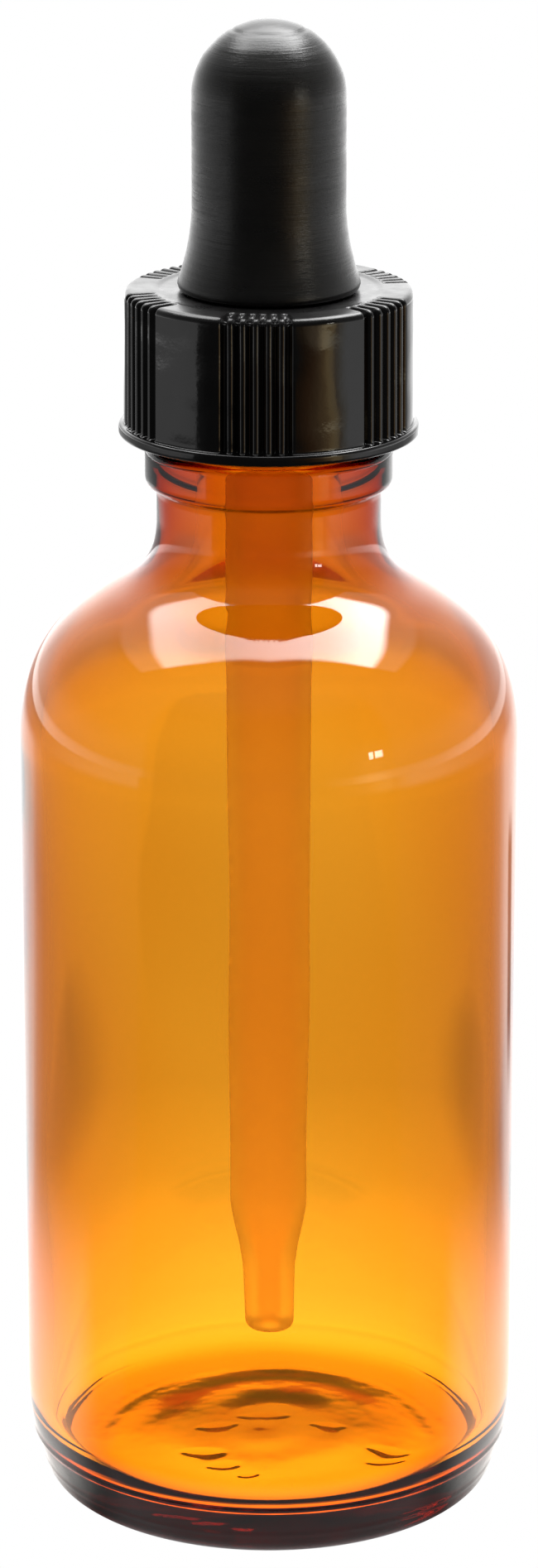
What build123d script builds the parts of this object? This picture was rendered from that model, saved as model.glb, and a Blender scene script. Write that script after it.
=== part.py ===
from build123d import *
from math import cos, pi, radians, sin
import os

os.makedirs("parts", exist_ok=True)

# ---------------------------------------------------------------------------
# Dropper bottle: round amber glass bottle with a 20-400 screw finish, black
# ribbed screw cap with a centre hole, rubber bulb held under the cap, and a
# milky plastic pipette pushed up into the bulb.  Millimetres, +Z up, origin at the
# centre of the base.  The front of the object faces -Y.
# ---------------------------------------------------------------------------

# bottle, outside
body_r = 19.5            # body cylinder, 39 mm diameter
base_ring_in = 14.0      # flat ring that the bottle stands on
base_ring_out = 15.8
push_up = 1.5            # height of the hollow under the base
heel_h = 9.0             # top of the rounded heel
shoulder_z = 62.4        # top of the straight body
neck_r = 8.72            # neck between shoulder and bead
neck_z = 80.2
bead_r = 9.6             # transfer bead under the finish
bead_low = 82.5
bead_top = 85.88
rim_z = 95.3             # bottle height
finish_r = 8.8           # finish without its thread (E / 2)
rim_round = 1.0

# bottle, inside
bore_r = 5.6
cavity_r = 17.55         # wall of about 2 mm
floor_z = 4.4            # glass base about 3 mm thick in the middle
floor_low = 3.6

# thread (8 turns per inch)
pitch = 3.175
turns = 1.25
bottle_thread_depth = 1.05
bottle_thread_half = 1.0
bottle_thread_z = 89.40  # centre of the thread at its lower end
bottle_thread_start = 205.0
cap_thread_depth = 0.9
cap_thread_half = 0.65
cap_thread_drop = 1.26   # cap thread sits this far under the bottle thread

# cap
cap_low = 86.72
flange_top = 87.58
cap_top = 97.92
flange_r = 11.58
cap_r = 11.16
cap_bore_r = 10.1
cap_panel = 1.3
cap_hole_r = 5.25
cap_edge_round = 0.55
groove_groups = 6
grooves_per_group = 6
groove_pitch = 5.15      # degrees
group_centre = -95.2     # degrees from +X, the group that faces the front
groove_depth = 0.5
groove_half = 0.46
top_groove_depth = 0.4
top_groove_half = 0.36
top_groove_in = 8.85

# bulb
bulb_gap = 0.05
bulb_flange_r = 8.6
bulb_neck_r = 5.17
bulb_rim_r = 6.97
bulb_r = 5.865
bulb_rim_z = 98.0
bulb_flare_z = 104.46
bulb_top = 118.55
bulb_grip_r = 3.5
bulb_groove_r = 3.95
bulb_groove_low = 99.15
bulb_groove_top = 100.2
bulb_cavity_r = 4.35

# pipette
tube_top_r = 3.45        # the tube has a little draft, like any moulded tube
tube_low_r = 3.07
tube_bore_top_r = 2.45
tube_bore_low_r = 2.15
pipette_low = 12.6
pipette_top = 100.1
pipette_bead_r = 3.8
taper_top = 23.4
taper_low = 17.7
tip_top_r = 2.08
tip_low_r = 1.97
tip_bore_r = 0.75


def at(radius, angle):
    """Point at a radius and an angle in degrees."""
    return (radius * cos(radians(angle)), radius * sin(radians(angle)))


def crowned(rise, half_width):
    """Height at half the width of a spherical crown of a given rise."""
    crown_r = (half_width**2 + rise**2) / (2 * rise)
    return rise - crown_r + (crown_r**2 - (half_width / 2) ** 2) ** 0.5


# --- bottle ------------------------------------------------------------------
# Round-crested helical thread whose two ends run out flush with the neck.
thread_turn = 360 * turns
with BuildPart() as bottle_thread:
    with BuildLine() as bottle_helix:
        Helix(
            pitch=pitch,
            height=pitch * turns,
            radius=finish_r,
            center=(0, 0, bottle_thread_z),
        )
    with BuildSketch(
        Plane(
            origin=bottle_helix.line @ 0,
            x_dir=(1, 0, 0),
            z_dir=bottle_helix.line % 0,
        )
    ):
        with BuildLine():
            h, d = bottle_thread_half, bottle_thread_depth
            root = Line((-0.25, -h), (-0.25, h))
            low = Line(root @ 1, (0, h))
            flank = Line(low @ 1, (0.6 * d, 0.6 * h))
            crest = ThreePointArc(flank @ 1, (d, 0), (0.6 * d, -0.6 * h))
            back = Line(crest @ 1, (0, -h))
            Line(back @ 1, root @ 0)
        make_face()
    sweep(path=bottle_helix.line, is_frenet=True)
    # sloping run-outs at both ends
    for end, sign in ((0, -1), (thread_turn, 1)):
        z_end = bottle_thread_z + pitch * end / 360
        with BuildSketch(Plane.XY.offset(z_end - 1.5)):
            Polygon(
                at(finish_r - 0.18, end),
                at(finish_r + 1.5, end - sign * 29),
                at(13, end - sign * 29),
                at(13, end + sign * 12),
                at(8.2, end + sign * 12),
                align=None,
            )
        extrude(amount=3.0, mode=Mode.SUBTRACT)

with BuildPart() as bottle:
    with BuildSketch(Plane.XZ):
        with BuildLine():
            base = ThreePointArc(
                (0, push_up),
                (base_ring_in / 2, crowned(push_up, base_ring_in)),
                (base_ring_in, 0),
            )
            ring = Line(base @ 1, (base_ring_out, 0))
            heel = Spline(
                ring @ 1,
                (17.55, 0.65),
                (18.25, 2.1),
                (18.95, 4.3),
                (19.36, 6.3),
                (body_r, heel_h),
                tangents=((1, 0.02), (0, 1)),
            )
            side = Line(heel @ 1, (body_r, shoulder_z))
            shoulder = Spline(
                side @ 1,
                (19.1, 66.0),
                (18.0, 69.05),
                (16.4, 71.35),
                (14.5, 73.05),
                (12.5, 74.2),
                (10.8, 75.2),
                (9.6, 76.4),
                (8.95, 77.9),
                (neck_r, neck_z),
                tangents=((0, 1), (0, 1)),
            )
            neck = Line(shoulder @ 1, (neck_r, bead_low))
            bead_under = ThreePointArc(
                neck @ 1, (neck_r + 0.66, bead_low + 0.22), (bead_r, bead_low + 0.85)
            )
            bead = Line(bead_under @ 1, (bead_r, bead_top - 0.6))
            bead_over = ThreePointArc(
                bead @ 1, (bead_r - 0.18, bead_top - 0.18), (bead_r - 0.6, bead_top)
            )
            land = Line(bead_over @ 1, (finish_r, bead_top))
            finish = Line(land @ 1, (finish_r, rim_z - rim_round))
            rim_outer = RadiusArc(
                finish @ 1, (finish_r - rim_round, rim_z), -rim_round
            )
            rim = Line(rim_outer @ 1, (bore_r + 0.8, rim_z))
            rim_inner = RadiusArc(rim @ 1, (bore_r, rim_z - 0.8), -0.8)
            bore = Line(rim_inner @ 1, (bore_r, 81.0))
            inner_shoulder = Spline(
                bore @ 1,
                (5.95, 77.6),
                (7.3, 75.0),
                (9.6, 73.1),
                (12.6, 71.5),
                (15.1, 69.4),
                (16.7, 66.7),
                (cavity_r, 61.4),
                tangents=((0, -1), (0, -1)),
            )
            wall = Line(inner_shoulder @ 1, (cavity_r, 9.6))
            inner_heel = Spline(
                wall @ 1,
                (17.0, 6.5),
                (15.2, 4.3),
                (12.2, floor_low),
                tangents=((0, -1), (-1, 0)),
            )
            floor = ThreePointArc(
                inner_heel @ 1,
                (6.1, floor_low + crowned(floor_z - floor_low, 12.2)),
                (0, floor_z),
            )
            Line(floor @ 1, base @ 0)
        make_face()
    revolve(axis=Axis.Z)
    add(bottle_thread.part.rotate(Axis.Z, bottle_thread_start))
bottle.part.label = "bottle"

# --- cap -----------------------------------------------------------------------
# Internal thread, engaged with the bottle's, its loaded flank 0.1 mm clear.
cap_thread_z = bottle_thread_z - cap_thread_drop
cap_thread_lead = 12.0   # degrees by which the cap thread starts earlier
with BuildPart() as cap_thread:
    with BuildLine() as cap_helix:
        Helix(
            pitch=pitch,
            height=pitch * turns,
            radius=cap_bore_r,
            center=(0, 0, cap_thread_z - pitch * cap_thread_lead / 360),
        )
    with BuildSketch(
        Plane(
            origin=cap_helix.line @ 0,
            x_dir=(1, 0, 0),
            z_dir=cap_helix.line % 0,
        )
    ):
        Polygon(
            (0.25, -cap_thread_half),
            (0.25, cap_thread_half),
            (0, cap_thread_half),
            (-0.75 * cap_thread_depth, 0.36),
            (-cap_thread_depth, 0.2),
            (-cap_thread_depth, -0.2),
            (-0.75 * cap_thread_depth, -0.36),
            (0, -cap_thread_half),
            align=None,
        )
    sweep(path=cap_helix.line, is_frenet=True)
    for end, sign in ((0, -1), (thread_turn, 1)):
        z_end = cap_thread_z + pitch * (end - cap_thread_lead) / 360
        with BuildSketch(Plane.XY.offset(z_end - 1.4)):
            Polygon(
                at(cap_bore_r + 0.2, end),
                at(cap_bore_r - 1.25, end - sign * 20),
                at(7.5, end - sign * 20),
                at(7.5, end + sign * 12),
                at(10.8, end + sign * 12),
                align=None,
            )
        extrude(amount=2.8, mode=Mode.SUBTRACT)

group_start = group_centre - groove_pitch * (grooves_per_group - 1) / 2
groove_angles = [
    group_start + 360 / groove_groups * g + groove_pitch * n
    for g in range(groove_groups)
    for n in range(grooves_per_group)
]
with BuildPart() as cap:
    with BuildSketch(Plane.XZ):
        with BuildLine():
            lip = Line((cap_bore_r + 0.25, cap_low), (flange_r - 0.2, cap_low))
            lip_round = RadiusArc(lip @ 1, (flange_r, cap_low + 0.2), -0.2)
            rim_side = Line(lip_round @ 1, (flange_r, flange_top - 0.2))
            rim_round_top = RadiusArc(
                rim_side @ 1, (flange_r - 0.2, flange_top), -0.2
            )
            step = Line(rim_round_top @ 1, (cap_r, flange_top))
            skirt = Line(step @ 1, (cap_r - 0.06, cap_top - cap_edge_round))
            edge = RadiusArc(
                skirt @ 1,
                (cap_r - 0.06 - cap_edge_round, cap_top),
                -cap_edge_round,
            )
            top = Line(edge @ 1, (cap_hole_r + 0.15, cap_top))
            hole_edge = Line(top @ 1, (cap_hole_r, cap_top - 0.15))
            hole = Line(hole_edge @ 1, (cap_hole_r, cap_top - cap_panel))
            under = Line(hole @ 1, (cap_bore_r - 0.4, cap_top - cap_panel))
            inner_corner = Line(
                under @ 1, (cap_bore_r, cap_top - cap_panel - 0.4)
            )
            inside = Line(inner_corner @ 1, (cap_bore_r, cap_low + 0.25))
            Line(inside @ 1, lip @ 0)
        make_face()
    revolve(axis=Axis.Z)
    # finger grooves down the side: six groups of six V grooves
    with BuildSketch(Plane.XY.offset(flange_top)):
        for g in range(groove_groups):
            with PolarLocations(
                cap_r,
                grooves_per_group,
                start_angle=group_start + 360 / groove_groups * g,
                angular_range=groove_pitch * (grooves_per_group - 1),
                endpoint=True,
            ):
                Polygon(
                    (-groove_depth, 0),
                    (0.3, -groove_half * (1 + 0.3 / groove_depth)),
                    (0.3, groove_half * (1 + 0.3 / groove_depth)),
                    align=None,
                )
    extrude(amount=cap_top - flange_top + 1, mode=Mode.SUBTRACT)
    # the same grooves carried over the edge onto the top
    with BuildSketch(
        *[
            Plane(
                origin=(*at(top_groove_in, a), cap_top),
                x_dir=(-sin(radians(a)), cos(radians(a)), 0),
                z_dir=(cos(radians(a)), sin(radians(a)), 0),
            )
            for a in groove_angles
        ]
    ):
        Polygon(
            (0, -top_groove_depth),
            (top_groove_half * 1.5, top_groove_depth * 0.5),
            (-top_groove_half * 1.5, top_groove_depth * 0.5),
            align=None,
        )
    extrude(amount=3, mode=Mode.SUBTRACT)
    add(
        cap_thread.part.rotate(
            Axis.Z, bottle_thread_start - cap_thread_lead
        )
    )
cap.part.label = "cap"

# --- bulb ----------------------------------------------------------------------
# Hollow rubber bulb: a flange clamped between cap and rim, a neck through the
# cap's hole, a bore that grips the pipette, and a domed squeeze chamber.
flange_low = rim_z + bulb_gap
flange_high = cap_top - cap_panel - bulb_gap
dome_z = bulb_top - bulb_r
inner_dome_z = dome_z - 0.1
with BuildPart() as bulb:
    with BuildSketch(Plane.XZ):
        with BuildLine():
            seat = Line((bulb_grip_r + 0.35, flange_low), (bulb_flange_r, flange_low))
            flange_side = Line(seat @ 1, (bulb_flange_r, flange_high))
            flange_face = Line(flange_side @ 1, (bulb_neck_r, flange_high))
            bulb_neck = Line(flange_face @ 1, (bulb_neck_r, bulb_rim_z))
            rim_under = Line(bulb_neck @ 1, (bulb_rim_r - 0.45, bulb_rim_z))
            rim_edge = RadiusArc(rim_under @ 1, (bulb_rim_r, bulb_rim_z + 0.45), -0.45)
            flare = Spline(
                rim_edge @ 1,
                (bulb_r + 0.62, bulb_rim_z + 2.05),
                (bulb_r + 0.27, bulb_rim_z + 3.6),
                (bulb_r, bulb_flare_z),
                tangents=((-0.3, 1), (0, 1)),
            )
            barrel = Line(flare @ 1, (bulb_r, dome_z))
            dome = ThreePointArc(
                barrel @ 1,
                (bulb_r * cos(pi / 4), dome_z + bulb_r * sin(pi / 4)),
                (0, dome_z + bulb_r),
            )
            wall_top = Line(dome @ 1, (0, inner_dome_z + bulb_cavity_r))
            inner_dome = ThreePointArc(
                wall_top @ 1,
                (
                    bulb_cavity_r * cos(pi / 4),
                    inner_dome_z + bulb_cavity_r * sin(pi / 4),
                ),
                (bulb_cavity_r, inner_dome_z),
            )
            chamber = Line(
                inner_dome @ 1, (bulb_cavity_r, bulb_groove_top + 0.6)
            )
            chamber_low = Line(chamber @ 1, (bulb_groove_r, bulb_groove_top))
            groove_side = Line(chamber_low @ 1, (bulb_groove_r, bulb_groove_low))
            groove_floor = Line(groove_side @ 1, (bulb_grip_r, bulb_groove_low - 0.3))
            grip = Line(groove_floor @ 1, (bulb_grip_r, flange_low + 0.35))
            Line(grip @ 1, seat @ 0)
        make_face()
    revolve(axis=Axis.Z)
bulb.part.label = "bulb"

# --- pipette -------------------------------------------------------------------
# Moulded tube with a bead at the top that snaps into the bulb, and a narrow tip.
with BuildPart() as pipette:
    with BuildSketch(Plane.XZ):
        with BuildLine():
            mouth = Line(
                (tube_bore_top_r, pipette_top - 0.35),
                (tube_bore_top_r + 0.3, pipette_top),
            )
            lip_top = Line(mouth @ 1, (pipette_bead_r - 0.4, pipette_top))
            bead_arc = ThreePointArc(
                lip_top @ 1,
                (pipette_bead_r, pipette_top - 0.4),
                (tube_top_r, pipette_top - 0.85),
            )
            tube = Line(bead_arc @ 1, (tube_low_r, taper_top))
            taper = Spline(
                tube @ 1,
                (2.67, 21.2),
                (2.36, 19.8),
                (tip_top_r, taper_low),
                tangents=((-0.05, -1), (-0.05, -1)),
            )
            tip = Line(taper @ 1, (tip_low_r, pipette_low + 0.6))
            tip_round = ThreePointArc(
                tip @ 1,
                (tip_low_r - 0.16, pipette_low + 0.18),
                (tip_low_r - 0.55, pipette_low),
            )
            end = Line(tip_round @ 1, (tip_bore_r, pipette_low))
            orifice = Line(end @ 1, (tip_bore_r, taper_low - 0.4))
            inner_taper = Spline(
                orifice @ 1,
                (1.45, 20.7),
                (tube_bore_low_r, taper_top + 1.2),
                tangents=((0.05, 1), (0.03, 1)),
            )
            Line(inner_taper @ 1, mouth @ 0)
        make_face()
    revolve(axis=Axis.Z)
pipette.part.label = "pipette"

for piece in (bottle, cap, bulb, pipette):
    export_step(piece.part, f"parts/{piece.part.label}.step")
    box = piece.part.bounding_box()
    print(
        piece.part.label,
        "volume", round(piece.part.volume, 1),
        "z", round(box.min.Z, 2), round(box.max.Z, 2),
        "solids", len(piece.part.solids()),
    )
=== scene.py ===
import math

import bpy
import numpy as np
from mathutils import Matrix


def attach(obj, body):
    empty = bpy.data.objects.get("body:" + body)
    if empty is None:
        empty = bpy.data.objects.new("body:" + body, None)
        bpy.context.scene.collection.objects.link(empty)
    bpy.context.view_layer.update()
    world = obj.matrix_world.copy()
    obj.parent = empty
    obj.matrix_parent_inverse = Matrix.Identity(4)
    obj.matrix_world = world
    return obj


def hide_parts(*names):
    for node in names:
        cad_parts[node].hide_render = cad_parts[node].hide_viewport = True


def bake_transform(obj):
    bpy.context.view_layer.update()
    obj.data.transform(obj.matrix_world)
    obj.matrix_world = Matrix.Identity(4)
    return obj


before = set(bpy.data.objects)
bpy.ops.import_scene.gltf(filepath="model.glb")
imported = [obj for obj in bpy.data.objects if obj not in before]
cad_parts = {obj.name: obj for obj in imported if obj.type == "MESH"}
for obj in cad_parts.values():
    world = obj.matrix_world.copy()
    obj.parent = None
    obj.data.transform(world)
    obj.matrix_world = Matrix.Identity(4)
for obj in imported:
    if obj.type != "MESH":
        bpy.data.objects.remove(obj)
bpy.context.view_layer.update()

MM = 0.001
TAU = 2 * math.pi


# ---------------------------------------------------------------------------
# mesh helpers
# ---------------------------------------------------------------------------
def spline(points, n, start=None, end=None):
    """n points on a smooth cubic curve through points; start and end are optional end directions."""
    p = np.array(points, float)
    d = np.r_[0, np.cumsum(np.linalg.norm(np.diff(p, axis=0), axis=1))]
    m = len(p)
    a = np.zeros((m, m))
    b = np.zeros((m, 2))
    for i in range(1, m - 1):
        h0, h1 = d[i] - d[i - 1], d[i + 1] - d[i]
        a[i, i - 1], a[i, i], a[i, i + 1] = h0, 2 * (h0 + h1), h1
        b[i] = 6 * ((p[i + 1] - p[i]) / h1 - (p[i] - p[i - 1]) / h0)
    a[0, 0] = a[-1, -1] = 1
    if start is not None:
        s = np.array(start, float) / np.linalg.norm(start)
        h = d[1] - d[0]
        a[0, 0], a[0, 1] = 2 * h, h
        b[0] = 6 * ((p[1] - p[0]) / h - s)
    if end is not None:
        s = np.array(end, float) / np.linalg.norm(end)
        h = d[-1] - d[-2]
        a[-1, -1], a[-1, -2] = 2 * h, h
        b[-1] = 6 * (s - (p[-1] - p[-2]) / h)
    k = np.linalg.solve(a, b)
    t = np.linspace(0, d[-1], n)
    i = np.clip(np.searchsorted(d, t, side="right") - 1, 0, m - 2)
    h = (d[i + 1] - d[i])[:, None]
    u, v = (t - d[i])[:, None], (d[i + 1] - t)[:, None]
    return (
        k[i] * v**3 / (6 * h)
        + k[i + 1] * u**3 / (6 * h)
        + (p[i] / h - k[i] * h / 6) * v
        + (p[i + 1] / h - k[i + 1] * h / 6) * u
    )


def line(a, b, n):
    t = np.linspace(0, 1, n)[:, None]
    return np.array(a, float) * (1 - t) + np.array(b, float) * t


def arc(centre, rx, rz, a0, a1, n):
    t = np.radians(np.linspace(a0, a1, n))
    return np.c_[centre[0] + rx * np.cos(t), centre[1] + rz * np.sin(t)]


def path(*parts):
    """Joins runs of (radius, height) points and drops the doubled ends."""
    out = [np.asarray(parts[0], float)]
    for q in parts[1:]:
        q = np.asarray(q, float)
        if np.linalg.norm(q[0] - out[-1][-1]) < 1e-4:
            q = q[1:]
        out.append(q)
    return np.vstack(out)


def lathe(name, profile, angles, shape=None, loop=False):
    """A closed turned mesh. profile is (radius, height) in mm, angles in radians. shape(r, z, a) may move the grid of points."""
    prof = np.asarray(profile, float)
    a = np.asarray(angles, float)
    n = len(a)
    low_pole = not loop and prof[0, 0] < 1e-6
    high_pole = not loop and prof[-1, 0] < 1e-6
    body = prof[1 if low_pole else 0 : len(prof) - (1 if high_pole else 0)]
    r = np.repeat(body[:, :1], n, 1)
    z = np.repeat(body[:, 1:], n, 1)
    ang = np.repeat(a[None, :], len(body), 0)
    if shape is not None:
        r, z = shape(r, z, ang)
    co = np.stack([r * np.cos(ang), r * np.sin(ang), z], -1).reshape(-1, 3)
    rows = len(body)
    i = np.arange(rows if loop else rows - 1)
    j = np.arange(n)
    ii, jj = np.meshgrid(i, j, indexing="ij")
    i1, j1 = (ii + 1) % rows, (jj + 1) % n
    quads = np.stack(
        [ii * n + jj, ii * n + j1, i1 * n + j1, i1 * n + jj], -1
    ).reshape(-1, 4)
    faces = quads.tolist()
    verts = co
    if low_pole:
        verts = np.vstack([verts, [0, 0, prof[0, 1]]])
        k = len(verts) - 1
        faces += [[k, (q + 1) % n, q] for q in range(n)]
    if high_pole:
        verts = np.vstack([verts, [0, 0, prof[-1, 1]]])
        k = len(verts) - 1
        base = (rows - 1) * n
        faces += [[k, base + q, base + (q + 1) % n] for q in range(n)]
    me = bpy.data.meshes.new(name)
    me.from_pydata((verts * MM).tolist(), [], faces)
    me.update()
    me.polygons.foreach_set("use_smooth", np.ones(len(me.polygons), bool))
    ob = bpy.data.objects.new(name, me)
    bpy.context.scene.collection.objects.link(ob)
    # outward normals: the signed volume is positive
    me.calc_loop_triangles()
    tri = np.zeros(len(me.loop_triangles) * 3, np.int32)
    me.loop_triangles.foreach_get("vertices", tri)
    v = verts[tri.reshape(-1, 3)]
    if np.einsum("ij,ij->i", v[:, 0], np.cross(v[:, 1], v[:, 2])).sum() < 0:
        me.flip_normals()
    return ob


def smooth_step(x):
    x = np.clip(x, 0, 1)
    return x * x * (3 - 2 * x)


def waves(ang, z, seed, count=9, low=1, high=5, zscale=0.05):
    """Gentle seeded unevenness, -1 to 1 or so, periodic round the axis."""
    rng = np.random.RandomState(seed)
    out = np.zeros_like(z)
    for _ in range(count):
        k = rng.randint(low, high + 1)
        out += (
            rng.uniform(0.4, 1)
            * np.cos(k * ang + rng.uniform(0, TAU))
            * np.cos(z * zscale * rng.uniform(0.4, 2) * TAU + rng.uniform(0, TAU))
        )
    return out / count**0.5


# ---------------------------------------------------------------------------
# materials
# ---------------------------------------------------------------------------
def new_material(name):
    m = bpy.data.materials.new(name)
    m.use_nodes = True
    nt = m.node_tree
    p = next(n for n in nt.nodes if n.type == "BSDF_PRINCIPLED")
    return m, nt, p


def node(nt, kind, **values):
    n = nt.nodes.new(kind)
    for k, v in values.items():
        if k in n.inputs:
            n.inputs[k].default_value = v
        else:
            setattr(n, k, v)
    return n


def noise(nt, scale, detail=2.0, rough=0.5, stretch=(1, 1, 1), distortion=0.0):
    tc = node(nt, "ShaderNodeTexCoord")
    mp = node(nt, "ShaderNodeMapping")
    mp.inputs["Scale"].default_value = stretch
    nt.links.new(tc.outputs["Object"], mp.inputs["Vector"])
    t = node(nt, "ShaderNodeTexNoise")
    t.inputs["Scale"].default_value = scale
    t.inputs["Detail"].default_value = detail
    t.inputs["Roughness"].default_value = rough
    t.inputs["Distortion"].default_value = distortion
    nt.links.new(mp.outputs["Vector"], t.inputs["Vector"])
    return t.outputs["Fac"]


def remap(nt, value, lo, hi, out_lo, out_hi):
    n = node(nt, "ShaderNodeMapRange")
    for k, v in (("From Min", lo), ("From Max", hi), ("To Min", out_lo), ("To Max", out_hi)):
        n.inputs[k].default_value = v
    nt.links.new(value, n.inputs["Value"])
    return n.outputs["Result"]


def bump(nt, height, strength, distance, normal=None):
    b = node(nt, "ShaderNodeBump")
    b.inputs["Strength"].default_value = strength
    b.inputs["Distance"].default_value = distance
    nt.links.new(height, b.inputs["Height"])
    if normal is not None:
        nt.links.new(normal, b.inputs["Normal"])
    return b.outputs["Normal"]


def glass_material(name, absorb=None, stipple=False):
    m, nt, p = new_material(name)
    p.inputs["Base Color"].default_value = (1, 1, 1, 1)
    p.inputs["Transmission Weight"].default_value = 1
    p.inputs["IOR"].default_value = 1.5
    smudge = noise(nt, 160, 4, 0.6)
    nt.links.new(remap(nt, smudge, 0.45, 0.8, 0.0, 0.045), p.inputs["Roughness"])
    soft = bump(nt, noise(nt, 95, 1.5, 0.4, (1, 1, 0.45)), 0.12, 0.0006)
    if stipple:
        # the base plate of the mould leaves a mottled foot
        place = node(nt, "ShaderNodeTexCoord")
        height = node(nt, "ShaderNodeSeparateXYZ")
        nt.links.new(place.outputs["Object"], height.inputs["Vector"])
        low = remap(nt, height.outputs["Z"], 0.0048, 0.0040, 0.0, 1.0)
        mottle = node(nt, "ShaderNodeMath", operation="MULTIPLY")
        nt.links.new(low, mottle.inputs[0])
        nt.links.new(noise(nt, 260, 2, 0.5), mottle.inputs[1])
        soft = bump(nt, mottle.outputs[0], 0.2, 0.0004, soft)
        under = remap(nt, height.outputs["Z"], 0.0017, 0.0012, 0.0, 0.13)
        rough = node(nt, "ShaderNodeMath", operation="ADD")
        nt.links.new(p.inputs["Roughness"].links[0].from_socket, rough.inputs[0])
        nt.links.new(under, rough.inputs[1])
        nt.links.new(rough.outputs[0], p.inputs["Roughness"])
    nt.links.new(soft, p.inputs["Normal"])
    if absorb is not None:
        colour, density = absorb
        v = node(nt, "ShaderNodeVolumeAbsorption")
        v.inputs["Color"].default_value = (*colour, 1)
        v.inputs["Density"].default_value = density
        out = next(n for n in nt.nodes if n.type == "OUTPUT_MATERIAL")
        nt.links.new(v.outputs["Volume"], out.inputs["Volume"])
    return m


amber = glass_material("amber_glass", ((0.9, 0.6958, 0.0417), 1200.0), stipple=True)

# milky, see-through plastic of the pipette
milky, nt, p = new_material("pipette_plastic")
p.inputs["Base Color"].default_value = (1.0, 0.87, 0.79, 1)
p.inputs["Transmission Weight"].default_value = 0.96
p.inputs["IOR"].default_value = 1.25
nt.links.new(remap(nt, noise(nt, 500, 4, 0.6), 0.3, 0.7, 0.5, 0.62), p.inputs["Roughness"])
nt.links.new(bump(nt, noise(nt, 350, 2, 0.5, (1, 1, 0.2)), 0.1, 0.0002), p.inputs["Normal"])

# glossy moulded plastic of the cap, duller on its flat top
CAP_TOP = 0.09792
plastic, nt, p = new_material("cap_plastic")
p.inputs["Specular IOR Level"].default_value = 0.5
tone = noise(nt, 420, 5, 0.6)
ramp = node(nt, "ShaderNodeValToRGB")
ramp.color_ramp.elements[0].position, ramp.color_ramp.elements[1].position = 0.35, 0.75
ramp.color_ramp.elements[0].color = (0.0045, 0.0043, 0.0045, 1)
ramp.color_ramp.elements[1].color = (0.0095, 0.009, 0.0092, 1)
nt.links.new(tone, ramp.inputs["Fac"])
nt.links.new(ramp.outputs["Color"], p.inputs["Base Color"])
gloss = remap(nt, noise(nt, 900, 4, 0.6), 0.35, 0.75, 0.04, 0.11)
place = node(nt, "ShaderNodeTexCoord")
height = node(nt, "ShaderNodeSeparateXYZ")
nt.links.new(place.outputs["Object"], height.inputs["Vector"])
soft = remap(nt, height.outputs["Z"], CAP_TOP - 0.0004, CAP_TOP - 0.0001, 0.0, 0.24)
rough = node(nt, "ShaderNodeMath", operation="ADD")
nt.links.new(gloss, rough.inputs[0])
nt.links.new(soft, rough.inputs[1])
nt.links.new(rough.outputs[0], p.inputs["Roughness"])
sink = bump(nt, noise(nt, 190, 0.8, 0.4, (1, 1, 1.0)), 0.4, 0.0008)
orange_peel = bump(nt, noise(nt, 2600, 2, 0.5), 0.05, 0.0001, sink)
nt.links.new(orange_peel, p.inputs["Normal"])

# satin rubber of the bulb, with the fine rings that moulding and turning leave
rubber, nt, p = new_material("bulb_rubber")
p.inputs["Specular IOR Level"].default_value = 0.5
mott = noise(nt, 300, 5, 0.65)
ramp = node(nt, "ShaderNodeValToRGB")
ramp.color_ramp.elements[0].position, ramp.color_ramp.elements[1].position = 0.3, 0.8
ramp.color_ramp.elements[0].color = (0.009, 0.009, 0.009, 1)
ramp.color_ramp.elements[1].color = (0.018, 0.0175, 0.016, 1)
nt.links.new(mott, ramp.inputs["Fac"])
nt.links.new(ramp.outputs["Color"], p.inputs["Base Color"])
nt.links.new(remap(nt, noise(nt, 650, 4, 0.6, (0.15, 0.15, 1)), 0.3, 0.75, 0.24, 0.38), p.inputs["Roughness"])
rings = bump(nt, noise(nt, 3600, 4, 0.8, (0.02, 0.02, 1)), 0.26, 0.00012)
grain = bump(nt, noise(nt, 4200, 3, 0.6), 0.1, 0.0001, rings)
nt.links.new(grain, p.inputs["Normal"])


def finish_piece(ob, body, cad, material):
    ob.data.materials.append(material)
    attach(ob, body)
    if cad:
        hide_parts(cad)


# ---------------------------------------------------------------------------
# bottle: amber glass, one closed skin of outside and inside
# ---------------------------------------------------------------------------
PITCH, TURNS = 3.175, 1.25
THREAD_Z, THREAD_START = 89.40, math.radians(205)


def thread_height(ang, z, z0, start, half, turns, fade):
    """0 to 1: how far the thread stands out at an angle and height."""
    out = np.zeros_like(z)
    rel = (ang - start) % TAU
    for k in range(int(math.ceil(turns)) + 1):
        a = rel + k * TAU
        inside = a <= turns * TAU
        centre = z0 + PITCH * a / TAU
        u = np.clip(np.abs(z - centre) / half, 0, 1)
        crest = np.cos(u * math.pi / 2) ** 0.9 * (1 - 0.25 * u**2)
        ends = smooth_step(a / fade) * smooth_step((turns * TAU - a) / fade)
        out = np.maximum(out, np.where(inside & (u < 1), crest * ends, 0))
    return out


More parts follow.
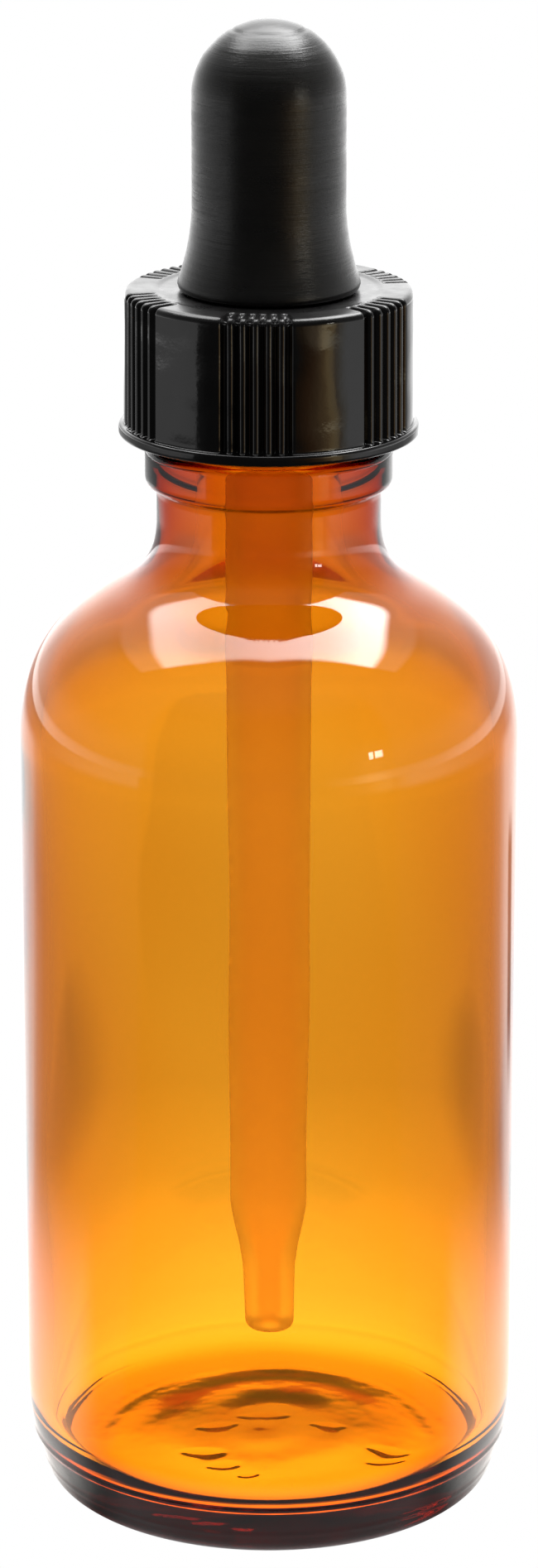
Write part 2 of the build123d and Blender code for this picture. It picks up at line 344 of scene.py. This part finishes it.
outer = path(
    spline([(0, 1.5), (4, 1.38), (8, 1.0), (11.5, 0.45), (13.2, 0.16), (14.2, 0.02), (14.7, 0)], 84, (1, 0), (1, 0)),
    line((14.7, 0), (15.5, 0), 4),
    spline(
        [(15.5, 0), (16.5, 0.14), (17.35, 0.56), (17.9, 1.15), (18.25, 2.1), (18.6, 3.2), (18.95, 4.3), (19.36, 6.3), (19.47, 7.9), (19.5, 9.0)],
        64,
        (1, 0),
        (0, 1),
    ),
    line((19.5, 9.0), (19.5, 62.4), 90),
    spline(
        [(19.5, 62.4), (19.1, 66.0), (18.0, 69.05), (16.4, 71.27), (14.5, 72.92), (12.5, 74.28), (10.8, 75.33), (9.6, 76.45), (8.95, 77.9), (8.72, 80.2)],
        84,
        (0, 1),
        (0, 1),
    ),
    line((8.72, 80.2), (8.72, 82.3), 6),
    spline([(8.72, 82.3), (8.86, 82.52), (9.25, 82.7), (9.53, 83.0), (9.6, 83.45)], 14, (0, 1), (0, 1)),
    line((9.6, 83.45), (9.6, 85.2), 6),
    arc((9.0, 85.28), 0.6, 0.6, 0, 90, 9),
    line((9.0, 85.88), (8.95, 85.88), 2),
    line((8.8, 86.05), (8.8, 94.3), 110),
    arc((7.8, 94.3), 1.0, 1.0, 0, 90, 12),
    line((7.8, 95.3), (6.4, 95.3), 5),
)
inner = path(
    arc((6.4, 94.5), 0.8, 0.8, 90, 180, 10),
    line((5.6, 94.5), (5.6, 81.0), 24),
    spline(
        [(5.6, 81.0), (5.95, 77.6), (7.3, 75.0), (9.6, 73.1), (12.6, 71.5), (15.1, 69.4), (16.7, 66.7), (17.55, 61.4)],
        70,
        (0, -1),
        (0, -1),
    ),
    line((17.55, 61.4), (17.55, 8.4), 70),
    spline([(17.55, 8.4), (17.25, 5.9), (16.3, 4.4), (14.6, 3.72), (12.2, 3.6)], 48, (0, -1), (-1, 0.03)),
    spline([(12.2, 3.6), (9.2, 3.95), (6.1, 4.2), (3.0, 4.35), (0, 4.4)], 36, (-1, 0.03), (-1, 0)),
)
n_outer = len(outer)
bottle_profile = path(outer, inner)


# raised marks under the base: centre, half length, half width (mm), turn
MARKS = [
    (-5.2, -3.4, 1.5, 0.55, -0.15),
    (-3.6, -5.6, 1.1, 0.5, 0.1),
    (-1.6, -7.6, 0.8, 0.45, 0.5),
    (-4.1, 1.2, 1.2, 0.45, 0.2),
    (-0.6, 2.9, 1.5, 0.4, 0.0),
    (4.7, 1.1, 1.0, 0.4, -0.1),
    (9.6, -2.6, 1.4, 0.5, -0.1),
    (9.4, -4.6, 1.5, 0.45, 0.05),
]


def bottle_shape(r, z, ang):
    row = np.arange(1, len(r) + 1)[:, None] * np.ones_like(r)
    out = row < n_outer
    # thread on the finish
    t = thread_height(ang, z, THREAD_Z, THREAD_START, 1.0, TURNS, math.radians(27))
    r = np.where(out & (z > 86) & (z < 94.4), r + 1.05 * t, r)
    # mould's parting lines: two up the sides, one round the heel
    side = 0.035 * (
        np.exp(-(((ang - math.radians(-107) + math.pi) % TAU - math.pi) * r / 0.10) ** 2)
        + np.exp(-(((ang - math.radians(73) + math.pi) % TAU - math.pi) * r / 0.10) ** 2)
    )
    r = np.where(out & (z > 4) & (z < 85.5), r + side * smooth_step((z - 4) / 1.5), r)
    heel = out & (r > 15)
    r = np.where(heel, r + 0.1 * np.exp(-(((z - 4.6) / 0.25) ** 2)) + 0.06 * np.exp(-(((z - 2.2) / 0.16) ** 2)), r)
    # blown glass: the inside is never quite even
    w = waves(ang, z, 7, zscale=0.02)
    v = waves(ang, z, 11, count=7, low=3, high=9, zscale=0.03)
    body = smooth_step((z - 6) / 10) * smooth_step((78 - z) / 10)
    r = np.where(~out & (r > 6), r + (0.07 * w + 0.02 * v) * body, r)
    # ripples in the floor
    floor = (~out) & (z < 6.5) & (r < 16.5)
    x, y = r * np.cos(ang), r * np.sin(ang)
    rip = 0.07 * np.cos(r * 1.15 + 0.9 * np.cos(ang * 2 + 0.6)) + 0.05 * np.cos(0.55 * x + 0.31 * y + 1.3)
    z = np.where(floor, z + rip * smooth_step((16.5 - r) / 5) * smooth_step(r / 2), z)
    # raised marks of the mould under the base
    under = out & (z < 2) & (r < 13.5)
    for mx, my, long, wide, turn in MARKS:
        u = (x - mx) * math.cos(turn) + (y - my) * math.sin(turn)
        v = (y - my) * math.cos(turn) - (x - mx) * math.sin(turn)
        z = np.where(under, z - 0.42 * np.exp(-((u / long) ** 2 + (v / wide) ** 2) ** 2), z)
    return r, z


bottle = lathe("amber_bottle", bottle_profile, np.linspace(0, TAU, 288, endpoint=False), bottle_shape)
finish_piece(bottle, "bottle", "bottle", amber)

# ---------------------------------------------------------------------------
# pipette: milky plastic tube
# ---------------------------------------------------------------------------
pip = path(
    line((3.45, 99.2), (3.07, 23.6), 60),
    spline([(3.07, 23.6), (3.0, 22.9), (2.89, 22.3), (2.67, 21.2), (2.36, 19.8), (2.18, 18.6), (2.08, 17.7)], 30, (-0.01, -1), (-0.03, -1)),
    line((2.08, 17.7), (1.97, 13.3), 12),
    spline([(1.97, 13.3), (1.9, 12.93), (1.7, 12.68), (1.4, 12.6)], 10, (0, -1), (-1, 0)),
    spline([(1.4, 12.6), (1.0, 12.63), (0.8, 12.8), (0.75, 13.1)], 8, (-1, 0), (0, 1)),
    line((0.75, 13.1), (0.75, 17.2), 10),
    spline([(0.75, 17.2), (0.92, 18.9), (1.45, 20.7), (2.02, 22.9), (2.15, 24.6)], 28, (0, 1), (0.004, 1)),
    line((2.15, 24.6), (2.45, 99.4), 60),
    spline([(2.45, 99.4), (2.52, 99.85), (2.76, 100.08), (3.15, 100.1), (3.57, 99.98), (3.79, 99.7), (3.69, 99.4), (3.45, 99.2)], 26, (0, 1), (-0.3, -1)),
)
pipette = lathe("dropper_pipette", pip[:-1], np.linspace(0, TAU, 112, endpoint=False), loop=True)
finish_piece(pipette, "dropper", "pipette", milky)

# ---------------------------------------------------------------------------
# cap: six groups of finger grooves, flange at the foot, thread inside
# ---------------------------------------------------------------------------
GROOVE = math.radians(5.15)
groups = [math.radians(-95.2 + 60 * g) for g in range(6)]
grooves = np.array([g + GROOVE * (k - 2.5) for g in groups for k in range(6)])
cols = []
for g in groups:
    lo, hi = g - 3.35 * GROOVE, g + 3.35 * GROOVE
    cols += list(np.linspace(lo, hi, 84, endpoint=False))
    cols += list(np.linspace(hi, lo + math.radians(60), 26, endpoint=False))
cap_angles = np.sort(np.array(cols))

cap_out = path(
    line((10.35, 86.72), (11.38, 86.72), 5),
    arc((11.38, 86.92), 0.2, 0.2, -90, 0, 6),
    line((11.58, 86.92), (11.58, 87.36), 4),
    arc((11.36, 87.36), 0.22, 0.22, 0, 90, 6),
    line((11.36, 87.58), (11.30, 87.58), 2),
    spline([(11.30, 87.58), (11.2, 87.62), (11.16, 87.75)], 5, (-1, 0), (0, 1)),
    line((11.16, 87.75), (11.10, 97.37), 34),
    arc((10.55, 97.37), 0.55, 0.55, 0, 90, 12),
    line((10.55, 97.92), (8.95, 97.92), 10),
    spline([(8.95, 97.92), (8.7, 97.9), (8.45, 97.83), (8.2, 97.8)], 8, (-1, 0), (-1, 0)),
    line((8.2, 97.8), (5.35, 97.8), 12),
    arc((5.35, 97.7), 0.1, 0.1, 90, 180, 4),
)
cap_in = path(
    line((5.25, 97.7), (5.25, 96.62), 5),
    line((5.25, 96.62), (9.7, 96.62), 8),
    arc((9.7, 96.22), 0.4, 0.4, 90, 0, 5),
    line((10.1, 96.22), (10.1, 86.97), 110),
    line((10.1, 86.97), (10.35, 86.72), 3),
)
cap_profile = path(cap_out, cap_in)[:-1]
n_cap_out = len(cap_out)


def cap_shape(r, z, ang):
    row = np.arange(len(r))[:, None] * np.ones_like(r)
    out = row < n_cap_out
    d = np.min(np.abs((ang[None] - grooves[:, None, None] + math.pi) % TAU - math.pi), axis=0)
    u = np.clip(d / (GROOVE * 0.5), 0, 1)
    g = (0.5 + 0.5 * np.cos(math.pi * u)) ** 1.7
    g = np.where(d < GROOVE * 0.5, g, 0)
    # down the side
    side = out & (z > 87.56) & (r > 10.4)
    on_side = smooth_step((z - 87.6) / 0.12)
    dr = 0.46 * g * on_side
    # over the edge and along the top
    top = out & (r > 8.6) & (z > 97.3)
    run = smooth_step((r - 8.82) / 0.35)
    dz = 0.38 * g * run
    edge_t = smooth_step((z - 97.3) / 0.5)
    new_r = np.where(side, r - dr * np.where(z > 97.37, np.clip((r - 10.3) / 0.8, 0, 1), 1), r)
    new_z = np.where(top, z - dz * edge_t, z)
    # thread inside
    a0 = math.radians(205 - 12)
    t = thread_height(ang, z, THREAD_Z - 1.26 - PITCH * 12 / 360, a0, 0.66, TURNS, math.radians(20))
    new_r = np.where(~out & (np.abs(r - 10.1) < 1e-6), new_r - 0.9 * t, new_r)
    return new_r, new_z


cap = lathe("screw_cap", cap_profile, cap_angles, cap_shape, loop=True)
cap.data.set_sharp_from_angle(angle=math.radians(50))
finish_piece(cap, "cap", "cap", plastic)

# ---------------------------------------------------------------------------
# bulb
# ---------------------------------------------------------------------------
dome_z = 118.55 - 5.865
bulb_profile = path(
    arc((0, dome_z), 5.865, 5.865, 90, 0, 56)[::1],
    line((5.865, dome_z), (5.865, 104.46), 40),
    spline([(5.865, 104.46), (6.135, 101.6), (6.485, 100.05), (6.93, 98.62)], 40, (0, -1), (0.33, -1)),
    spline([(6.93, 98.62), (6.97, 98.32), (6.87, 98.02), (6.55, 97.87)], 12, (0.33, -1), (-1, 0)),
    line((6.55, 97.87), (5.3, 97.87), 6),
    line((5.17, 97.8), (5.17, 96.66), 6),
    line((5.3, 96.57), (8.45, 96.57), 8),
    arc((8.45, 96.42), 0.15, 0.15, 90, 0, 4),
    line((8.6, 96.42), (8.6, 95.5), 4),
    arc((8.45, 95.5), 0.15, 0.15, 0, -90, 4),
    line((8.45, 95.35), (3.85, 95.35), 8),
    line((3.85, 95.35), (3.5, 95.7), 3),
    line((3.5, 95.7), (3.5, 98.85), 8),
    line((3.95, 99.15), (3.95, 100.2), 4),
    line((4.35, 100.8), (4.35, dome_z - 0.1), 24),
    arc((0, dome_z - 0.1), 4.35, 4.35, 0, 90, 24),
)
bulb_profile[0] = (0, 118.55)
bulb_profile[-1] = (0, dome_z + 4.25)


def bulb_shape(r, z, ang):
    outer_skin = (z > 98.3) & (r > 4.5) | (z > dome_z + 4.4)
    # moulding ring near the top and faint turned rings
    top_r = np.where(z > dome_z + 4.5, r, 99)
    z = z - np.where(outer_skin, 0.07 * np.exp(-(((top_r - 2.8) / 0.14) ** 2)), 0)
    rings = 0.003 * np.sin(z * 9.1) + 0.002 * np.sin(z * 23.7 + 1.1)
    r = r + np.where(outer_skin & (z < dome_z + 3), rings, 0)
    r = r * np.where(outer_skin, 1 + 0.004 * np.cos(2 * ang + 0.5), 1)
    return r, z


bulb = lathe("rubber_bulb", bulb_profile, np.linspace(0, TAU, 144, endpoint=False), bulb_shape)
bulb.data.set_sharp_from_angle(angle=math.radians(60))
bulb.data.materials.append(rubber)
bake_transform(bulb)
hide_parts("bulb")

# ---------------------------------------------------------------------------
# stage, light and camera
# ---------------------------------------------------------------------------
scene = bpy.context.scene


def calc(nt, operation, *values, clamp=False):
    n = nt.nodes.new("ShaderNodeMath")
    n.operation = operation
    n.use_clamp = clamp
    for i, v in enumerate(values):
        if isinstance(v, (int, float)):
            n.inputs[i].default_value = v
        else:
            nt.links.new(v, n.inputs[i])
    return n.outputs[0]


def step_up(nt, value, lo, hi):
    """0 below lo, 1 above hi, smooth between; lo may be above hi to turn it round."""
    n = nt.nodes.new("ShaderNodeMapRange")
    n.interpolation_type = "SMOOTHSTEP"
    turned = lo > hi
    if turned:
        lo, hi = hi, lo
    n.inputs["From Min"].default_value, n.inputs["From Max"].default_value = lo, hi
    n.inputs["To Min"].default_value = 1 if turned else 0
    n.inputs["To Max"].default_value = 0 if turned else 1
    nt.links.new(value, n.inputs["Value"])
    return n.outputs["Result"]


def blend_colour(nt, fac, a, b):
    n = nt.nodes.new("ShaderNodeMix")
    n.data_type = "RGBA"
    n.clamp_factor = True
    ins = [i for i in n.inputs if i.type == "RGBA"]
    for sock, v in ((n.inputs[0], fac), (ins[0], a), (ins[1], b)):
        if isinstance(v, tuple):
            sock.default_value = (*v, 1)
        elif isinstance(v, (int, float)):
            sock.default_value = v if sock.type == "VALUE" else (v, v, v, 1)
        else:
            nt.links.new(v, sock)
    return [o for o in n.outputs if o.type == "RGBA"][0]


def curve(nt, value, points, top):
    """A brightness that follows (value, brightness or colour) pairs; top is the scale of the ramp."""
    n = nt.nodes.new("ShaderNodeValToRGB")
    e = n.color_ramp.elements
    while len(e) > 1:
        e.remove(e[-1])
    for i, (pos, v) in enumerate(points):
        k = e[0] if i == 0 else e.new(pos)
        k.position = pos
        c = v if isinstance(v, tuple) else (v, v, v)
        k.color = (*[q / top for q in c], 1)
    nt.links.new(value, n.inputs["Fac"])
    m = nt.nodes.new("ShaderNodeVectorMath")
    m.operation = "SCALE"
    m.inputs["Scale"].default_value = top
    nt.links.new(n.outputs["Color"], m.inputs[0])
    return m.outputs["Vector"]


def bearing(nt, x, y):
    """0 to 1 once round in plan, 0.5 straight in front; every 0.1 is 36 degrees to the right."""
    return calc(nt, "ADD", calc(nt, "DIVIDE", calc(nt, "ARCTAN2", x, calc(nt, "MULTIPLY", y, -1)), TAU), 0.5)


def round_curve(nt, x, y, points, top):
    """A curve over the bearing in degrees, -180 to 180."""
    return curve(nt, bearing(nt, x, y), [((a + 180) / 360, v) for a, v in points], top)


# the room by bearing, far off: dark in front, one warm panel, grey sides, bright behind
WARM = [(24, (0.15, 0.08, 0.04)), (31, (0.33, 0.16, 0.07)), (38, (0.55, 0.33, 0.16)), (45, (0.95, 0.6, 0.28)), (50, (1.5, 1.05, 0.5)), (55, (1.35, 1.0, 0.55)), (57.5, (0.65, 0.5, 0.36)), (61, (0.8, 0.75, 0.65))]
FAR = [
    (-180, 2.0), (-168, 1.2), (-160, 0.6), (-135, 0.35), (-115, 0.38), (-95, 0.65), (-77, 0.8), (-60, 0.78), (-58.8, 0.12), (-50, 0.05), (17, 0.06),
    *WARM, (66, 1.0), (82, 0.9), (95, 0.65), (115, 0.45), (135, 0.55), (150, 1.4), (180, 2.0),
]
FARTHER = [
    (-180, 2.4), (-150, 2.5), (-135, 2.1), (-122, 1.85), (-105, 1.6), (-90, 1.35), (-77, 1.05), (-60, 0.8), (-56, 0.2), (-50, 0.06), (17, 0.08),
    (24, (0.2, 0.13, 0.07)), (36, (0.9, 0.65, 0.4)), (44, (2.5, 1.95, 1.15)), (50, (2.5, 2.05, 1.3)), (57, (1.2, 1.05, 0.8)), (66, 0.9), (82, 1.2),
    (95, 1.8), (111, 2.1), (130, 2.3), (180, 2.4),
]
# close by and low down: the sweep in front and at the sides is in the bottle's own shade
NEAR = [
    (-180, 1.4), (-160, 1.55), (-145, 1.45), (-136, 1.2), (-130, 0.6), (-122, 0.32), (-100, 0.22), (-75, 0.18), (-60, 0.12), (-57, 0.05),
    (56, 0.05), (60, 0.10), (75, 0.13), (100, 0.18), (120, 0.28), (128, 0.6), (135, 1.4), (150, 1.7), (170, 1.55), (180, 1.4),
]
# above the horizon
HIGH = [
    (-180, 3.0), (-165, 2.6), (-150, 1.3), (-130, 0.6), (-112, 0.3), (-90, 0.2), (-60, 0.14), (-57, 0.05),
    (56, 0.05), (60, 0.16), (80, 0.2), (95, 0.25), (110, 0.35), (130, 0.65), (150, 1.2), (165, 2.6), (180, 3.0),
]


# floor: plain white to the camera; to the glass and the gloss it is the lit sweep
# round the bottle, brightest close behind it and in shadow under it
S = 6.0
floor_me = bpy.data.meshes.new("floor")
floor_me.from_pydata([(-S, -S, 0), (S, -S, 0), (S, S, 0), (-S, S, 0)], [], [(0, 1, 2, 3)])
floor = bpy.data.objects.new("floor", floor_me)
floor.location.z = -0.00002
scene.collection.objects.link(floor)
fm = bpy.data.materials.new("floor")
fm.use_nodes = True
nt = fm.node_tree
nt.nodes.clear()
out = node(nt, "ShaderNodeOutputMaterial")
lp = node(nt, "ShaderNodeLightPath")
tc = node(nt, "ShaderNodeTexCoord")
sep = node(nt, "ShaderNodeSeparateXYZ")
nt.links.new(tc.outputs["Object"], sep.inputs["Vector"])
fx, fy = sep.outputs["X"], sep.outputs["Y"]
dist = calc(nt, "SQRT", calc(nt, "ADD", calc(nt, "MULTIPLY", fx, fx), calc(nt, "MULTIPLY", fy, fy)))
through = curve(
    nt,
    dist,
    [(0.0, 4.0), (0.012, 4.0), (0.019, 3.6), (0.029, 2.8), (0.048, 2.15), (0.067, 1.5), (0.090, 1.2), (0.125, 1.2), (0.153, 1.25), (0.181, 1.35), (0.22, 1.5), (0.29, 1.6), (0.40, 1.5), (0.55, 1.25), (0.75, 1.12), (1.0, 1.08)],
    5.0,
)
# shade: a crescent under the front of the heel, and two soft patches behind
front = step_up(nt, fy, -0.005, -0.012)
crescent = calc(nt, "MULTIPLY", step_up(nt, dist, 0.0162, 0.0172), step_up(nt, dist, 0.032, 0.025))
shade = calc(nt, "MULTIPLY", front, crescent)
through = blend_colour(nt, shade, through, (0.012, 0.012, 0.012))
ax = calc(nt, "DIVIDE", calc(nt, "SUBTRACT", calc(nt, "ABSOLUTE", fx), 0.0430), 0.0125)
ay = calc(nt, "DIVIDE", calc(nt, "SUBTRACT", fy, 0.086), 0.023)
patch = step_up(nt, calc(nt, "ADD", calc(nt, "MULTIPLY", ax, ax), calc(nt, "MULTIPLY", ay, ay)), 2.4, 0.0)
through = blend_colour(nt, calc(nt, "MULTIPLY", patch, 0.42), through, (0.3, 0.3, 0.3))
# painted shade: a dimmer patch on the floor under the middle of the base, seen through the bottle's floor
qx = calc(nt, "DIVIDE", fx, 0.012)
qy = calc(nt, "DIVIDE", calc(nt, "SUBTRACT", fy, 0.005), 0.006)
painted_shade_under_base = step_up(nt, calc(nt, "ADD", calc(nt, "MULTIPLY", qx, qx), calc(nt, "MULTIPLY", qy, qy)), 1.5, 0.0)
through = blend_colour(nt, calc(nt, "MULTIPLY", painted_shade_under_base, 0.8), through, (1.3, 1.1, 1.1))
# a faint bell: the inside of the shoulder, thrown back by the far wall
wide = calc(nt, "DIVIDE", calc(nt, "ABSOLUTE", fx), calc(nt, "ADD", calc(nt, "MULTIPLY", fy, 0.0345), 0.0149))
long = calc(nt, "DIVIDE", calc(nt, "MAXIMUM", calc(nt, "SUBTRACT", fy, 0.14), 0.0), 0.128)
bell = step_up(nt, calc(nt, "ADD", calc(nt, "POWER", wide, 4.0), calc(nt, "POWER", long, 3.0)), 1.16, 0.92)
bell = calc(nt, "MULTIPLY", bell, step_up(nt, fy, 0.09, 0.16))
bell = calc(nt, "MULTIPLY", bell, calc(nt, "ADD", calc(nt, "MULTIPLY", step_up(nt, fx, 0.004, -0.002), 0.7), 0.3))
through = blend_colour(nt, calc(nt, "MULTIPLY", bell, 0.13), through, (0.5, 0.5, 0.5))
near = round_curve(nt, fx, fy, NEAR, 3.0)
# painted reflection: a dark streak on the floor behind and to the right, seen in the glass and gloss
painted_dark_streak = step_up(nt, calc(nt, "ABSOLUTE", calc(nt, "SUBTRACT", bearing(nt, fx, fy), 0.899)), 0.013, 0.005)
painted_dark_streak = calc(nt, "MULTIPLY", painted_dark_streak, calc(nt, "MULTIPLY", step_up(nt, dist, 0.09, 0.12), step_up(nt, dist, 0.19, 0.17)))
near = blend_colour(nt, calc(nt, "MULTIPLY", painted_dark_streak, 0.85), near, (0.08, 0.08, 0.10))
far = round_curve(nt, fx, fy, FAR, 3.0)
high = round_curve(nt, fx, fy, HIGH, 3.0)
farther = round_curve(nt, fx, fy, FARTHER, 3.0)
shine = blend_colour(nt, step_up(nt, dist, 0.25, 0.345), near, far)
shine = blend_colour(nt, step_up(nt, dist, 0.49, 0.56), shine, farther)
shine = blend_colour(nt, calc(nt, "MULTIPLY", step_up(nt, dist, 0.68, 1.6), 0.8), shine, high)
# painted light and shade in reflections of the floor near the heel: a painted pool of light at the sides, and a dim
# band of painted shade in front of the foot
foot = calc(nt, "MULTIPLY", step_up(nt, dist, 0.032, 0.026), step_up(nt, fy, -0.010, -0.016))
sides = calc(nt, "MULTIPLY", step_up(nt, dist, 0.090, 0.040), step_up(nt, calc(nt, "ABSOLUTE", fx), 0.013, 0.020))
shine = blend_colour(nt, calc(nt, "MULTIPLY", sides, step_up(nt, fy, -0.016, -0.002)), shine, (1.6, 1.54, 1.48))
shine = blend_colour(nt, foot, shine, (0.5, 0.48, 0.48))
colour = blend_colour(nt, lp.outputs["Is Transmission Ray"], shine, through)
colour = blend_colour(nt, lp.outputs["Is Camera Ray"], colour, (1.0, 1.0, 1.0))
glow = node(nt, "ShaderNodeEmission")
glow.inputs["Strength"].default_value = 1.0
nt.links.new(colour, glow.inputs["Color"])
nt.links.new(glow.outputs["Emission"], out.inputs["Surface"])
floor_me.materials.append(fm)

# room: bright wall behind, one wide softbox above and behind, dark camera side
world = bpy.data.worlds.new("studio")
scene.world = world
world.use_nodes = True
nt = world.node_tree
nt.nodes.clear()
out = node(nt, "ShaderNodeOutputWorld")
tc = node(nt, "ShaderNodeTexCoord")
sep = node(nt, "ShaderNodeSeparateXYZ")
nt.links.new(tc.outputs["Generated"], sep.inputs["Vector"])
wx, wy, wz = sep.outputs["X"], sep.outputs["Y"], sep.outputs["Z"]
room = blend_colour(nt, step_up(nt, wz, 0.30, 0.0), round_curve(nt, wx, wy, HIGH, 3.0), blend_colour(nt, 0.2, round_curve(nt, wx, wy, HIGH, 3.0), round_curve(nt, wx, wy, FARTHER, 3.0)))
room = blend_colour(nt, step_up(nt, wz, 0.55, 0.85), room, (0.16, 0.16, 0.16))
wz_safe = calc(nt, "MAXIMUM", wz, 0.02)
bx, by = calc(nt, "DIVIDE", wx, wz_safe), calc(nt, "DIVIDE", wy, wz_safe)
hollow = calc(nt, "SUBTRACT", by, calc(nt, "MULTIPLY", calc(nt, "ABSOLUTE", bx), 0.16))
box = calc(
    nt,
    "MULTIPLY",
    step_up(nt, calc(nt, "ABSOLUTE", bx), 0.68, 0.60),
    calc(nt, "MULTIPLY", step_up(nt, hollow, -0.07, -0.02), step_up(nt, by, 1.08, 0.82)),
)
halo = calc(
    nt,
    "MULTIPLY",
    step_up(nt, calc(nt, "ABSOLUTE", bx), 0.92, 0.84),
    calc(nt, "MULTIPLY", step_up(nt, hollow, -0.07, -0.02), step_up(nt, by, 1.3, 1.05)),
)
room = blend_colour(nt, halo, room, (1.1, 1.1, 1.1))
lit = curve(nt, calc(nt, "ADD", bx, 0.5), [(0.0, 8.5), (0.2, 6.5), (0.5, 9.0), (0.8, 12.0), (1.0, 17.0)], 18.0)
room = blend_colour(nt, box, room, lit)
# a small far window, front right
az = calc(nt, "MULTIPLY", calc(nt, "ARCTAN2", wx, calc(nt, "MULTIPLY", wy, -1)), 180 / math.pi)
pane = calc(
    nt,
    "MULTIPLY",
    calc(nt, "MULTIPLY", step_up(nt, calc(nt, "ABSOLUTE", calc(nt, "SUBTRACT", az, 48.6)), 0.35, 0.6),
    step_up(nt, calc(nt, "ABSOLUTE", calc(nt, "SUBTRACT", az, 49.5)), 4.0, 3.2)),
    step_up(nt, calc(nt, "ABSOLUTE", calc(nt, "SUBTRACT", wz, 0.105)), 0.035, 0.028),
)
room = blend_colour(nt, pane, room, (16.0, 15.5, 14.0))
through = blend_colour(nt, step_up(nt, wz, 0.02, 0.14), (1.1, 1.1, 1.1), (1.4, 1.4, 1.4))
through = blend_colour(nt, box, through, (2.6, 2.6, 2.6))
room = blend_colour(nt, node(nt, "ShaderNodeLightPath").outputs["Is Transmission Ray"], room, through)
bg = node(nt, "ShaderNodeBackground")
nt.links.new(room, bg.inputs["Color"])
clean = node(nt, "ShaderNodeBackground")
clean.inputs["Color"].default_value = (1, 1, 1, 1)
lp = node(nt, "ShaderNodeLightPath")
mix = node(nt, "ShaderNodeMixShader")
nt.links.new(lp.outputs["Is Camera Ray"], mix.inputs["Fac"])
nt.links.new(bg.outputs["Background"], mix.inputs[1])
nt.links.new(clean.outputs["Background"], mix.inputs[2])
nt.links.new(mix.outputs["Shader"], out.inputs["Surface"])

cam_data = bpy.data.cameras.new("camera")
cam_data.sensor_width = 36
cam_data.lens = 129.01
cam = bpy.data.objects.new("camera", cam_data)
scene.collection.objects.link(cam)
cam.location = (0, -0.419876, 0.19186)
cam.rotation_euler = (math.radians(90) - 0.30819, 0, 0)
cam_data.clip_start, cam_data.clip_end = 0.01, 50
scene.camera = cam
scene.view_settings.view_transform = "Standard"
scene.view_settings.look = "None"
scene.cycles.max_bounces = 24
scene.cycles.transmission_bounces = 24
scene.cycles.glossy_bounces = 8
scene.cycles.blur_glossy = 0.5
